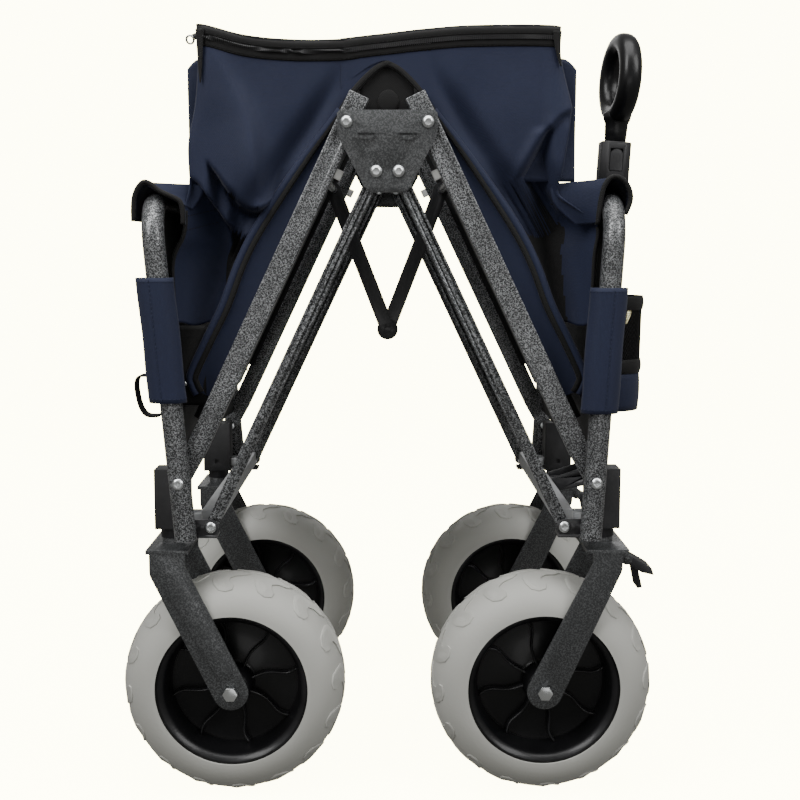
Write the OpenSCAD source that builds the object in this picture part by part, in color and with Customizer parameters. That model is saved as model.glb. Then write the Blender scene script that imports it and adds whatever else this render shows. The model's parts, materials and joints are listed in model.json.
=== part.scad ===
// Folding camp wagon, standing folded on its four wheels.
// X runs from the rear frame to the handle, Y across, Z up, millimetres.

/* [Fold linkage] */
// Length of an arm from frame pivot to hub rivet
arm_l = 392; // [380:1:400]
// Lean of the folded arms off vertical
fold_angle = 25.3; // [24:0.1:27]
// Half the spacing of the hub's upper rivets
upper_x = 40; // [38:0.5:44]
// Height of the hub's upper rivets
upper_z = 687; // [680:1:695]
// Half the spacing of the hub's lower rivets
lower_x = 11; // [10:0.5:13]
// Drop from the upper rivets to the lower ones
rivet_drop = 47.5; // [44:0.5:52]
// Width of an arm's tube
arm_w = 21; // [18:0.5:22]
// Width of a link
link_w = 12; // [10:0.5:14]

/* [End frames] */
// Outer diameter of the end-frame tube
tube_d = 22; // [20:0.5:23]
// Half the width between the tube centres
tube_y = 225; // [224:1:228]
// Height of the top bar's centre
top_z = 610; // [600:1:615]
// Height of the tubes' bottom ends
bottom_z = 274; // [270:1:278]
// Lean of the rear frame
rear_lean = 5; // [3:0.5:6]
// Lean of the front frame
front_lean = 3.5; // [3:0.5:5]

/* [Wheels] */
// Outer radius of a tyre
tyre_r = 115; // [112:1:116]
// Width of a tyre
tyre_w = 86; // [80:1:88]
// Rim radius
rim_r = 80; // [76:1:84]
// Distance of a wheel's middle from the wagon's middle
wheel_y = 178; // [178:0.5:180]
// Distance from caster axis back to the axle
trail = 62; // [58:1:62]
// Distance of a caster axis from the hub's middle
caster_x = 222; // [221:1:224]

/* [Handle] */
// Outer diameter of the handle's lower tube
pole_d = 26; // [25:0.5:28]
// Diameter of the sliding tube
slide_d = 20; // [18:0.5:21]
// Height of the grip loop
grip_h = 100; // [90:1:104]

/* [Hidden] */
$fn = 48;
wall = 1.5;
run_gap = 0.05;                       // radial clearance of a pin in its bore
open_gap = 0.6;                       // radial clearance of a pivot left open
pin_r = 3;
arm_in = 196;                         // inner face of the arms
arm_t = 16;
link_in = 198;
link_t = 13;
plate_in = 213;                       // inner face of the hub plates
plate_t = 3;
pivot_x = upper_x + arm_l * sin(fold_angle);
pivot_z = upper_z - arm_l * cos(fold_angle);
base_x = pivot_x - (upper_x - lower_x);
base_z = pivot_z - rivet_drop;
axle_x = caster_x - trail;
axle_r = 6;
fork_top = 263;
fork_gap = 47;                        // wheel's middle to a fork leg's outer face
leg_t = 3;
bend_r = 46;
stay_s = 332.8;                       // stay rod's place along the arm
stay_n = 4;                           // and towards the arm's inner edge
stay_x = pivot_x - stay_s * sin(fold_angle) - stay_n * cos(fold_angle);
stay_z = pivot_z + stay_s * cos(fold_angle) - stay_n * sin(fold_angle);
apex_z = 472;                         // height of the V's point
stay_t = 3;
board_n = arm_w / 2 + 1;              // board's under face, out from the arm's middle
board_t = 6;
board_y = 188;
swing_x = 237;                        // handle's pivot
swing_z = 304;
pole_top = 650;
collar_h = 50;
grip_z = 757;

function lean(end) = end < 0 ? rear_lean : front_lean;

// A bar along Y from y0 to y1 at a place in XZ
module pin(x, z, y0, y1, r) translate([x, min(y0, y1), z]) rotate([-90, 0, 0]) cylinder(r = r, h = abs(y1 - y0));

// Draws its children on the near and on the far side
module both_sides() {
    children();
    mirror([0, 1, 0]) children();
}

// A flat shape drawn in XZ, with its thickness from y0 to y0 + t on the far side
module slab(y0, t) translate([0, y0 + t, 0]) rotate([90, 0, 0]) linear_extrude(t) children();

// Frame of an end tube: origin at the arm pivot's height, Z along the tube
module in_tube(end) translate([end * pivot_x, 0, pivot_z]) rotate([0, end * lean(end), 0]) children();

// Frame of an arm: origin at its pivot, Z along the arm
module in_arm(end) translate([end * pivot_x, 0, pivot_z]) rotate([0, -end * fold_angle, 0]) children();

// Flat bar between two circles, with straight flanks that touch both
module taper(p, r1, q, r2) {
    d = norm(q - p);
    a = atan2(q[1] - p[1], q[0] - p[0]);
    b = acos((r1 - r2) / d);
    translate(p) circle(r1);
    translate(q) circle(r2);
    polygon([
        p + r1 * [cos(a + b), sin(a + b)], q + r2 * [cos(a + b), sin(a + b)],
        q + r2 * [cos(a - b), sin(a - b)], p + r1 * [cos(a - b), sin(a - b)]
    ]);
}

// ---------------- end frames ----------------

module u_path(end, r) {
    low = (bottom_z - pivot_z) / cos(lean(end));
    high = (top_z - pivot_z) / cos(lean(end));
    flat = tube_y - bend_r;
    in_tube(end) {
        both_sides() {
            translate([0, tube_y, low]) cylinder(r = r, h = high - bend_r - low);
            translate([0, flat, high - bend_r]) rotate([90, 0, 90])
                rotate_extrude(angle = 90) translate([bend_r, 0]) circle(r);
        }
        translate([0, -flat, high]) rotate([-90, 0, 0]) cylinder(r = r, h = 2 * flat);
    }
}

module end_tube(end) color("dimgray") difference() {
    u_path(end, tube_d / 2);
    u_path(end, tube_d / 2 - wall);
    both_sides() pin(end * pivot_x, pivot_z, tube_y - 15, tube_y + 15, pin_r);
}

beam_w = 17;
beam_x = base_x + 4;
module beam(end) color("silver") {
    difference() {
        translate([end * beam_x - beam_w / 2, -192, 282]) cube([beam_w, 384, 16]);
        translate([end * beam_x - beam_w / 2 + 2, -190, 284]) cube([beam_w - 4, 380, 12]);
    }
    both_sides() {
        x0 = beam_x + beam_w / 2;
        x1 = caster_x - 17;
        translate([end < 0 ? -x1 : x0 - 1, 166, 284]) cube([x1 - x0 + 1, 24, 10]);
    }
}

// Channel under the link: tied to the tube outside and to the beam inside
module brackets(end) color([0.08, 0.08, 0.08]) both_sides() difference() {
    union() {
        slab(214.3, 3) {
            translate([end * base_x, base_z]) circle(7.5);
            translate([end * (base_x + 13) - 13, base_z - 7.5]) square([26, 15]);
        }
        translate([end * (base_x + 10) - 16, 192, bottom_z]) cube([32, 25.3, 3]);
        for (s = [9, 17]) pin(end * (base_x + s), base_z, 217.3, 218.6, 2.4);
    }
    u_path(end, tube_d / 2 + 0.02);
    pin(end * base_x, base_z, 213, 219, pin_r);
}

module housings(end) color([0.12, 0.12, 0.13]) both_sides() difference() {
    union() {
        translate([end * caster_x - 17, wheel_y - 16, 278]) cube([34, 31.4, 62]);
        translate([end * caster_x, wheel_y, 268.3]) cylinder(r = 13, h = 9.7);
    }
    translate([end * caster_x, wheel_y, 260]) cylinder(r = axle_r + run_gap, h = 40);
    translate([end * caster_x - 2.5, wheel_y - 17, 288]) cube([5, 4, 5]);
}

// Pan-head screws: the upper ones carry the arms, the lower ones the links
module frame_screws(end) color("gainsboro") both_sides() {
    for (p = [[pivot_x, pivot_z, tube_y + 11], [base_x, base_z, 217.3]]) {
        pin(end * p[0], p[1], arm_in - 0.6, p[2], pin_r - 0.01);
        pin(end * p[0], p[1], arm_in - 2.4, arm_in - 0.6, 5);
        difference() {
            translate([end * p[0], p[2], p[1]]) rotate([-90, 0, 0]) {
                cylinder(r = 5.6, h = 1.6);
                translate([0, 0, 1.6]) cylinder(r1 = 5.6, r2 = 4, h = 1.2);
            }
            for (a = [0, 90]) translate([end * p[0], p[2] + 2.2, p[1]]) rotate([0, a, 0])
                cube([6, 2, 1.3], center = true);
        }
    }
}

// Upright fork leg down to the axle, drawn in XZ
module fork_leg(end, w) {
    taper([end * axle_x, tyre_r], 18, [end * caster_x, fork_top - w / 2 - 3], w / 2);
    translate([end * caster_x - w / 2, fork_top - w / 2 - 3]) square([w, w / 2 + 3]);
}

module fork(end, side, w) mirror([0, side < 0 ? 1 : 0, 0]) difference() {
    union() {
        for (y = [wheel_y - fork_gap, wheel_y + fork_gap - leg_t]) slab(y, leg_t) fork_leg(end, w);
        translate([end * caster_x - 21.5, wheel_y - fork_gap, fork_top - 4]) cube([43, 2 * fork_gap, 4]);
    }
    pin(end * axle_x, tyre_r, wheel_y - 60, wheel_y + 60, axle_r);
}

module rear_forks() color("dimgray") both_sides() {
    fork(-1, 1, 36);
    slab(wheel_y + fork_gap, 1.2) taper([-axle_x - 7, tyre_r + 24], 9, [-caster_x + 2, fork_top - 24], 11);
    translate([-caster_x, wheel_y, fork_top]) cylinder(r = axle_r, h = 34);
    translate([-caster_x, wheel_y, fork_top]) cylinder(r = 12, h = 5.3);
}

module axle(end) {
    pin(end * axle_x, tyre_r, wheel_y - fork_gap - 5, wheel_y + fork_gap + 2, axle_r - 0.02);
    translate([end * axle_x, wheel_y + fork_gap + 1.2, tyre_r]) rotate([-90, 0, 0])
        cylinder(r = 7.8, h = 5.2, $fn = 6);
    translate([end * axle_x, wheel_y - fork_gap - 6, tyre_r]) rotate([-90, 0, 0]) cylinder(r = 7.8, h = 6, $fn = 6);
    for (y = [wheel_y - 44, wheel_y + 35.7]) translate([end * axle_x, y, tyre_r]) rotate([-90, 0, 0])
        difference() {
            cylinder(r = 10, h = 8.3);
            cylinder(r = axle_r - 0.02, h = 30, center = true);
        }
}

module rear_axles() color("silver") both_sides() axle(-1);

// ---------------- fabric on the end frames ----------------

panel_low = 30;                       // bottom edge above the arm pivots
module end_panel(end) color("midnightblue") difference() {
    in_tube(end) translate([-1, -(tube_y - 12), panel_low]) cube([2, 2 * (tube_y - 12), 226]);
    u_path(end, tube_d / 2 + 0.1);
}

module hem(end) color("midnightblue") {
    high = (top_z - pivot_z) / cos(lean(end));
    in_tube(end) difference() {
        translate([0, -178, high]) rotate([-90, 0, 0]) cylinder(r = 14, h = 356);
        translate([0, -180, high]) rotate([-90, 0, 0]) cylinder(r = 11.4, h = 360);
    }
}

sleeve_low = 82;
module sleeves(end) color("midnightblue") in_tube(end) both_sides() difference() {
    translate([-19, tube_y - 11.7, sleeve_low]) cube([38, 26, 120]);
    translate([0, tube_y, sleeve_low - 1]) cylinder(r = 11.4, h = 122);
}

module strap_loop() color([0.05, 0.05, 0.05]) translate([-238, -207, 418]) difference() {
    cube([26, 12, 44], center = true);
    cube([18, 20, 34], center = true);
}

pocket_x = 228;
module cup_pocket() color("midnightblue") difference() {
    translate([pocket_x, -150, 398]) cylinder(r = 40, h = 118);
    translate([pocket_x, -150, 402]) cylinder(r = 38, h = 120);
    in_tube(1) translate([-119, -300, -10]) cube([120.02, 600, 300]);
}

// ---------------- arms, links and floor ----------------

module arm_profile(end, inset) polygon([
    [-arm_w / 2 + inset, 34], [-arm_w / 2 + inset, arm_l + 30 + inset], [arm_w / 2 - inset, arm_l + 30 + inset],
    [arm_w / 2 - inset, 34], [7 - inset, -11 + inset], [-7 + inset, -11 + inset]
]);

module arms(end) color("dimgray") both_sides() difference() {
    in_arm(end) slab(arm_in, arm_t) arm_profile(end, 0);
    in_arm(end) slab(arm_in + wall, arm_t - 2 * wall) arm_profile(end, wall);
    pin(end * pivot_x, pivot_z, arm_in - 5, 220, pin_r + run_gap);
    pin(end * upper_x, upper_z, arm_in - 5, 220, pin_r + run_gap);
    pin(end * stay_x, stay_z, arm_in - 5, arm_in + 5, 4);
}

module rod(end) color("gainsboro") difference() {
    pin(end * stay_x, stay_z, -(arm_in + 4), arm_in + 4, 3.98);
    both_sides() translate([end * stay_x - 6, 8.4, stay_z + 3]) cube([12, 2, 3]);
}

// Small square end blocks on the arms' inner edges
module stops(end) color("whitesmoke") both_sides() in_arm(end)
    translate([-end * (arm_w / 2 + 3.5) - 3.5, arm_in + 2, 338]) cube([7, 7, 10]);

module board(end) color([0.06, 0.06, 0.07]) in_arm(end)
    translate([end * (board_n + board_t / 2) - board_t / 2, -board_y, 60]) cube([board_t, 2 * board_y, 362]);

panel_y = 189.6;
panel_t = 2;
panel_r = 426;
// Side fabric between the upright end frame and the arm, as a fan about the arm pivot
module side_panels(end) color("midnightblue") both_sides() in_arm(end) slab(panel_y, panel_t) difference() {
    intersection() {
        circle(panel_r, $fn = 96);
        polygon([[0, 0], [end * 500 * sin(0.6), 500], [end * 500 * sin(23.8), 500 * cos(23.8)]]);
    }
    circle(70);
}

module links(end) color("dimgray") both_sides() difference() {
    slab(link_in, link_t) taper([end * base_x, base_z], link_w / 2, [end * lower_x, upper_z - rivet_drop], link_w / 2);
    pin(end * base_x, base_z, link_in - 5, 220, pin_r + run_gap);
    pin(end * lower_x, upper_z - rivet_drop, link_in - 5, 220, pin_r + open_gap);
}

// ---------------- hub ----------------

module hub_outline() {
    polygon([
        [-49, upper_z + 8.6], [-46, upper_z + 11.6], [46, upper_z + 11.6], [49, upper_z + 8.6],
        [49, upper_z - 12], [23, upper_z - 62], [18, upper_z - 68], [-18, upper_z - 68],
        [-23, upper_z - 62], [-49, upper_z - 12]
    ]);
}

module hub_plates() color("gray") both_sides() difference() {
    union() {
        slab(plate_in, plate_t) hub_outline();
        for (x = [-20, 20]) slab(plate_in + plate_t, 2.2) difference() {
            translate([x, upper_z - 12]) scale([1, 0.62]) circle(9);
            translate([x, upper_z - 12]) square([20, 2.4], center = true);
        }
    }
    for (end = [-1, 1]) {
        pin(end * upper_x, upper_z, 210, 220, pin_r);
        pin(end * lower_x, upper_z - rivet_drop, 210, 220, pin_r);
    }
}

module rivet(x, z, inner) {
    pin(x, z, inner - 0.7, plate_in + plate_t, pin_r - 0.01);
    pin(x, z, inner - 2.4, inner - 0.7, 4.6);
    translate([x, plate_in + plate_t, z]) rotate([-90, 0, 0]) {
        cylinder(r = 5.8, h = 1.2);
        translate([0, 0, 1.2]) cylinder(r1 = 5.8, r2 = 3.4, h = 1.8);
    }
}

module hub_rivets() color("gainsboro") both_sides() for (end = [-1, 1]) {
    rivet(end * upper_x, upper_z, arm_in);
    rivet(end * lower_x, upper_z - rivet_drop, link_in);
}

// ---------------- V stay ----------------

// Each bar turns on its own rod; the two halves of the rivet at the point stay apart
module stay(end) color([0.08, 0.08, 0.08]) difference() {
    y0 = end < 0 ? -0.3 - stay_t : 0.3;
    union() {
        slab(y0, stay_t) {
            taper([0, apex_z], 8.3, [end * stay_x, stay_z], 8.3);
            translate([0, apex_z]) circle(12);
        }
        pin(0, apex_z, end < 0 ? y0 - 1.8 : y0 + stay_t, end < 0 ? y0 : y0 + stay_t + 1.8, 4.2);
    }
    pin(end * stay_x, stay_z, -10, 10, 4 + run_gap);
}

// ---------------- wheels ----------------

module tyre_profile() difference() {
    translate([tyre_r - 43, 0]) intersection() {
        scale([1, tyre_w / 2 / 43]) circle(43);
        translate([rim_r - tyre_r + 43, -50]) square([60, 100]);
    }
    translate([rim_r - 20, -36]) square([22, 72]);
}

module tyre(end, side) color("silver") translate([end * axle_x, side * wheel_y, tyre_r]) rotate([90, 0, 0])
    rotate_extrude($fn = 120) tyre_profile();

module rim(end, side) color([0.03, 0.03, 0.03]) translate([end * axle_x, side * wheel_y, tyre_r]) rotate([90, 0, 0])
    difference() {
        union() {
            rotate_extrude($fn = 96) {
                translate([rim_r - 4.1, -35.5]) square([4, 71]);
                for (s = [-1, 1]) translate([rim_r - 6, s * 34 - 1.5]) square([7.9, 3]);
                translate([axle_r + run_gap, -35]) square([13, 70]);
                translate([axle_r + 2, -2]) square([rim_r - axle_r - 4, 4]);
            }
            for (a = [0:45:359], s = [-1, 1]) rotate([0, 0, a])
                translate([18, -1.5, s * 7.5 - 6.5]) cube([rim_r - 21, 3, 13]);
        }
        cylinder(r = axle_r + run_gap, h = 100, center = true);
    }

// ---------------- front casters and brakes ----------------

brake_x = 246;                        // brake lever's pivot
brake_z = 247;
brake_pin_r = 2.5;
module caster_fork(side) color("dimgray") mirror([0, side < 0 ? 1 : 0, 0]) {
    fork(1, 1, 30);
    translate([caster_x, wheel_y, fork_top]) cylinder(r = axle_r, h = 34);
    translate([caster_x, wheel_y, fork_top]) cylinder(r = 12, h = 5);
    for (y = [-20.4, 17.4]) slab(wheel_y + y, 3) {
        translate([brake_x, brake_z]) circle(6);
        polygon([[brake_x - 16, fork_top - 1], [brake_x - 4, fork_top - 1], [brake_x + 6, brake_z], [brake_x - 5, brake_z - 4]]);
    }
    pin(brake_x, brake_z, wheel_y - 21.5, wheel_y + 21.5, brake_pin_r);
}

module caster_axle(side) color("silver") mirror([0, side < 0 ? 1 : 0, 0]) axle(1);

// Foot lever on the caster's front, turning on its cross pin
module brake_pedal(side) color([0.05, 0.05, 0.05]) translate([0, side * wheel_y, 0]) difference() {
    union() {
        slab(-17, 34) {
            translate([brake_x, brake_z]) circle(5.5);
            polygon([[brake_x, brake_z - 5], [brake_x, brake_z + 5], [273, 236], [275, 229], [262, 232]]);
        }
        slab(-13, 26) polygon([[254, 238], [259, 236], [264, 215], [259, 214]]);
    }
    pin(brake_x, brake_z, -20, 20, brake_pin_r + run_gap);
}

// ---------------- handle ----------------

module in_pole() translate([swing_x, 0, swing_z]) rotate([0, front_lean, 0]) children();

module handle_bracket() color([0.08, 0.08, 0.08]) difference() {
    union() {
        translate([beam_x + beam_w / 2, -21, 284]) cube([10, 42, 12]);
        for (s = [-1, 1]) slab(s * 19 - 2, 4) {
            translate([swing_x, swing_z]) circle(11);
            polygon([[beam_x + beam_w / 2, 284], [beam_x + beam_w / 2, 300], [swing_x - 4, swing_z + 10.2], [swing_x + 4, swing_z - 10.2]]);
        }
    }
    pin(swing_x, swing_z, -30, 30, 4);
}

module handle_pin() color("gainsboro") {
    pin(swing_x, swing_z, -22.5, 22.5, 3.98);
    for (s = [-1, 1]) pin(swing_x, swing_z, s * 21.02, s * 23.5, 6.5);
}

module handle_pole() color("dimgray") difference() {
    in_pole() difference() {
        translate([0, 0, -12]) cylinder(d = pole_d, h = (pole_top - swing_z) + 12);
        translate([0, 0, -13]) cylinder(d = slide_d + 1.2, h = pole_top);
    }
    pin(swing_x, swing_z, -30, 30, 4 + run_gap);
}

collar_s = pole_top - swing_z - 14;
module handle_collar() color([0.05, 0.05, 0.05]) in_pole() difference() {
    translate([0, 0, collar_s]) intersection() {
        translate([-17, -18, 0]) cube([34, 36, collar_h]);
        cylinder(r = 20.5, h = collar_h);
    }
    translate([0, 0, collar_s - 1]) cylinder(d = pole_d + 0.04, h = 15);
    translate([0, 0, collar_s + 5]) cylinder(d = slide_d + 2 * run_gap, h = collar_h);
    translate([-7.3, -19, collar_s + 17]) cube([14.6, 6, 24.6]);
}

module handle_button() color([0.07, 0.07, 0.07]) in_pole() translate([0, -18.6, collar_s + 17.3]) {
    translate([-7, 0, 0]) cube([14, 3.2, 17]);
    translate([0, 3.2, 17]) rotate([90, 0, 0]) cylinder(r = 7, h = 3.2);
}

slide_low = 36;
module handle_slide() color("silver") in_pole() difference() {
    translate([0, 0, slide_low]) cylinder(d = slide_d, h = grip_z - grip_h / 2 - swing_z + 5 - slide_low);
    translate([0, 0, slide_low - 1]) cylinder(d = slide_d - 2 * wall, h = 300);
}

// Closed loop grip on a short neck
grip_r = 11.5;
module grip() color([0.03, 0.03, 0.03]) in_pole() translate([0, 0, grip_z - swing_z]) difference() {
    union() {
        rotate([0, 90, 0]) rotate_extrude($fn = 64) translate([grip_h / 2 - grip_r, 0]) circle(grip_r);
        translate([0, 0, -grip_h / 2 - 16]) cylinder(d = slide_d + 6, h = 22);
    }
    translate([0, 0, -grip_h / 2 - 17]) cylinder(d = slide_d + 0.02, h = 22.05);
}

end_tube(-1);  // rear_tube
beam(-1);  // rear_beam
brackets(-1);  // rear_brackets
housings(-1);  // rear_housings
rear_forks();
rear_axles();
frame_screws(-1);  // rear_frame_screws
end_panel(-1);  // rear_end_panel
hem(-1);  // rear_hem
sleeves(-1);  // rear_sleeves
strap_loop();
end_tube(1);  // front_tube
beam(1);  // front_beam
brackets(1);  // front_brackets
housings(1);  // front_housings
frame_screws(1);  // front_frame_screws
end_panel(1);  // front_end_panel
hem(1);  // front_hem
sleeves(1);  // front_sleeves
cup_pocket();
handle_bracket();
handle_pin();
arms(-1);  // rear_arms
rod(-1);  // rear_rod
stops(-1);  // rear_stops
board(-1);  // rear_board
side_panels(-1);  // rear_side_panels
arms(1);  // front_arms
rod(1);  // front_rod
stops(1);  // front_stops
board(1);  // front_board
side_panels(1);  // front_side_panels
links(-1);  // rear_links
links(1);  // front_links
hub_plates();
hub_rivets();
stay(-1);  // rear_stay
stay(1);  // front_stay
caster_fork(-1);  // near_caster_fork
caster_axle(-1);  // near_caster_axle
brake_pedal(-1);  // near_brake_pedal
caster_fork(1);  // far_caster_fork
caster_axle(1);  // far_caster_axle
brake_pedal(1);  // far_brake_pedal
tyre(-1, -1);  // rear_near_tyre
rim(-1, -1);  // rear_near_rim
tyre(-1, 1);  // rear_far_tyre
rim(-1, 1);  // rear_far_rim
tyre(1, -1);  // front_near_tyre
rim(1, -1);  // front_near_rim
tyre(1, 1);  // front_far_tyre
rim(1, 1);  // front_far_rim
handle_pole();
handle_collar();
handle_button();
handle_slide();
grip();
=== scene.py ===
import json
import math
import bmesh
import bpy
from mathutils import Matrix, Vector, noise
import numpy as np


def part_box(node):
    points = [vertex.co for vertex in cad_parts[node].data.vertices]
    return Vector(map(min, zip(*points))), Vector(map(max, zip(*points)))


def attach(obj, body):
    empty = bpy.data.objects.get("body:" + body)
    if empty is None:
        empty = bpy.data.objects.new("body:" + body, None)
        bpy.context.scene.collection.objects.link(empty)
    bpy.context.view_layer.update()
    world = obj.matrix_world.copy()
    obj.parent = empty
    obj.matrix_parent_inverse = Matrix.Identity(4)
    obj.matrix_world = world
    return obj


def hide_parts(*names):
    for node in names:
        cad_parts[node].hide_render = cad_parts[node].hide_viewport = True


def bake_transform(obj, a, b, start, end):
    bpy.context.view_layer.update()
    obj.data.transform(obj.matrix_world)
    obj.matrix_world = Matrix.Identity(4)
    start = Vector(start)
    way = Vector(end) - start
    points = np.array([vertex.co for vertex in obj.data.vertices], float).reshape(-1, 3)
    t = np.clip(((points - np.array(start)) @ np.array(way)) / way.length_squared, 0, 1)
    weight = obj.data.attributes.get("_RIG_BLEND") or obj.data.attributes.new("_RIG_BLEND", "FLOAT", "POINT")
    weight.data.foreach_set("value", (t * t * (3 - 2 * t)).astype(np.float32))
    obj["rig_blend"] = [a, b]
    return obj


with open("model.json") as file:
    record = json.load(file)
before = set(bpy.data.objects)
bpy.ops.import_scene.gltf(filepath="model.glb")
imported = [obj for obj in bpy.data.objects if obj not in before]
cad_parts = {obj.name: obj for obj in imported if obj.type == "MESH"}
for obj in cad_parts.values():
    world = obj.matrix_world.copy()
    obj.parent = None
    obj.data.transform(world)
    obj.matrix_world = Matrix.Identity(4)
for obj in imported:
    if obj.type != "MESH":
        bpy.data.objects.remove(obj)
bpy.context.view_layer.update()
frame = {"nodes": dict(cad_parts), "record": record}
joints = {j["name"]: j for j in frame["record"]["behaviour"]["joints"]}
print("wagon frame loaded")

# camera and lights
cameraSet = {"place": (0.0, -1.492, 0.561), "pitch": 6.57, "yaw": 0.556, "focal": 1286, "picture": 800,
             "sensor": 36, "near": 0.05}
# place, target, size and power of each light
lightSet = {"keyLight": ((-1.7, -1.6, 2.3), (0, 0, 0.45), (1.3, 1.6), 58),
            "fillLight": ((1.9, -1.5, 2.0), (0, 0, 0.4), (1.2, 1.6), 40),
            "topLight": ((0.0, -0.5, 2.7), (0, 0, 0.3), (2.2, 1.6), 56),
            "lowLight": ((0.0, -2.6, 0.35), (0, 0, 0.2), (2.0, 0.6), 5),
            "backLight": ((0.2, 2.4, 1.6), (0, 0, 0.4), (2.4, 1.4), 16)}
worldSet = {"colour": (1.0, 0.985, 0.93, 1), "strength": 0.22}


def linked(name, data):
    made = bpy.data.objects.new(name, data)
    bpy.context.collection.objects.link(made)
    return made


def setCamera(s):
    data = bpy.data.cameras.new("studioCamera")
    data.sensor_width = s["sensor"]
    data.lens = s["sensor"] * s["focal"] / s["picture"]
    data.clip_start = s["near"]
    camera = linked("studioCamera", data)
    camera.location = s["place"]
    camera.rotation_euler = (math.radians(90 - s["pitch"]), 0, math.radians(-s["yaw"]))
    bpy.context.scene.camera = camera


def softLight(name, place, target, size, power):
    data = bpy.data.lights.new(name, "AREA")
    data.shape = "RECTANGLE"
    data.size, data.size_y = size
    data.energy = power
    light = linked(name, data)
    light.location = place
    aim = Vector(target) - Vector(place)
    light.rotation_euler = aim.to_track_quat("-Z", "Y").to_euler()


setCamera(cameraSet)
for lightName, lightValues in lightSet.items():
    softLight(lightName, *lightValues)


def paleWorld(s):
    world = bpy.data.worlds.new("paleStudio")
    world.use_nodes = True
    backdrop = world.node_tree.nodes["Background"]
    backdrop.inputs["Color"].default_value = s["colour"]
    backdrop.inputs["Strength"].default_value = s["strength"]
    bpy.context.scene.world = world


paleWorld(worldSet)

# shader groups


class Wires:
    # short helper for node trees
    def __init__(self, tree):
        self.tree = tree

    def add(self, kind, values=None, **settings):
        node = self.tree.nodes.new(kind)
        for key, value in settings.items():
            setattr(node, key, value)
        for key, value in (values or {}).items():
            node.inputs[key].default_value = value
        return node

    def join(self, a, b):
        self.tree.links.new(a, b)

    def feed(self, value, socket):
        # wires an output in, or sets a plain value
        if hasattr(value, "is_linked"):
            self.join(value, socket)
        else:
            socket.default_value = value


def shaderGroup(name, inputs, outputs):
    tree = bpy.data.node_groups.new(name, "ShaderNodeTree")
    for label, kind, value in inputs:
        socket = tree.interface.new_socket(name=label, in_out="INPUT", socket_type=kind)
        socket.default_value = value
    for label, kind in outputs:
        tree.interface.new_socket(name=label, in_out="OUTPUT", socket_type=kind)
    w = Wires(tree)
    return tree, w, w.add("NodeGroupInput"), w.add("NodeGroupOutput")


def mixColour(w, factor, a, b):
    node = w.add("ShaderNodeMix", data_type="RGBA")
    # this node repeats its socket names for each data type, so its colour sockets go by number
    for number, value in ((0, factor), (6, a), (7, b)):
        w.feed(value, node.inputs[number])
    return node.outputs[2]


def sums(w, kind, a, b):
    node = w.add("ShaderNodeMath", operation=kind)
    for socket, value in zip(node.inputs, (a, b)):
        w.feed(value, socket)
    return node.outputs[0]


def ramp(w, source, low, high):
    node = w.add("ShaderNodeMapRange", {"From Min": low, "From Max": high})
    node.clamp = True
    w.join(source, node.inputs["Value"])
    return node.outputs["Result"]


def noiseAt(w, place, values):
    node = w.add("ShaderNodeTexNoise", values)
    w.join(place, node.inputs["Vector"])
    return node


colourKind = "NodeSocketColor"
floatKind = "NodeSocketFloat"
fullTurn = 6.2832


def hammeredGroup():
    tree, w, gin, gout = shaderGroup(
        "hammeredPaint",
        [("Base", colourKind, (0.1, 0.1, 0.1, 1)), ("Fleck", colourKind, (0.5, 0.5, 0.5, 1)),
         ("Scale", floatKind, 300.0), ("Amount", floatKind, 0.5)],
        [("Color", colourKind), ("Roughness", floatKind), ("Height", floatKind)])
    place = w.add("ShaderNodeTexCoord")
    worms = noiseAt(w, place.outputs["Object"], {"Detail": 1.2, "Distortion": 0.8})
    w.join(gin.outputs["Scale"], worms.inputs["Scale"])
    fleck = ramp(w, worms.outputs["Fac"], 0.49, 0.56)
    patch = noiseAt(w, place.outputs["Object"], {"Scale": 60.0, "Detail": 3.0})
    patchy = sums(w, "ADD", 0.55, sums(w, "MULTIPLY", ramp(w, patch.outputs["Fac"], 0.3, 0.7), 0.45))
    share = sums(w, "MULTIPLY", sums(w, "MULTIPLY", fleck, patchy), gin.outputs["Amount"])
    w.join(mixColour(w, share, gin.outputs["Base"], gin.outputs["Fleck"]), gout.inputs["Color"])
    w.join(sums(w, "SUBTRACT", 0.46, sums(w, "MULTIPLY", fleck, 0.14)), gout.inputs["Roughness"])
    w.join(fleck, gout.inputs["Height"])
    return tree


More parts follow.
